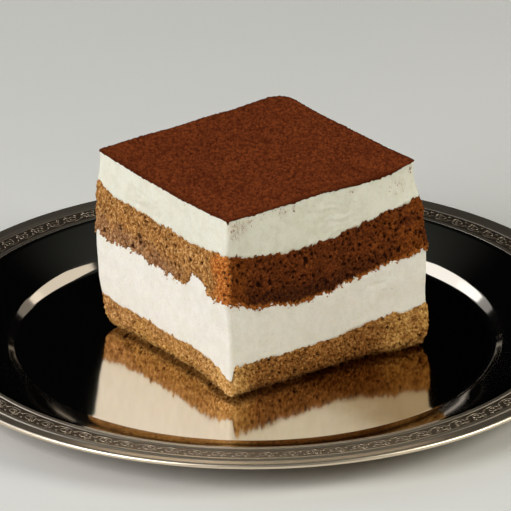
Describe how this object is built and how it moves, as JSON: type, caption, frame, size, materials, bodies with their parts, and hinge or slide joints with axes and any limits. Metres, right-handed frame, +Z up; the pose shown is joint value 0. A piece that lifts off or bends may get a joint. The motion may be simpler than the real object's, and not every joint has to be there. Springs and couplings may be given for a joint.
{
  "type": "tiramisu portion on a plate",
  "caption": "Square-cut layered tiramisu portion of soaked sponge and mascarpone cream under cocoa, standing in the well of a round polished steel dessert plate with an engraved rim.",
  "frame": {"origin": "middle of the plate's flat underside", "axes": "+Z up; the portion's cut sides follow X and Y, and its corner nearest the picture's viewer is towards -X and -Y"},
  "size_m": [0.21, 0.21, 0.0626],
  "materials": {
    "polished_steel": "mirror-polished steel, slightly warm, with a finely engraved band on the rim",
    "golden_sponge": "moist golden-brown sponge with open pores and crumbs",
    "soaked_sponge": "coffee-soaked dark brown sponge with open pores",
    "cream": "smooth satin cream with knife marks, warm off-white",
    "cocoa": "dry sifted cocoa powder, reddish dark brown, fully matte"
  },
  "bodies": {
    "root": {"plate": "polished_steel", "sponge_bottom": "golden_sponge", "cream_bottom": "cream", "sponge_middle": "soaked_sponge", "cream_top": "cream", "cocoa_top": "cocoa"}
  },
  "joints": []
}
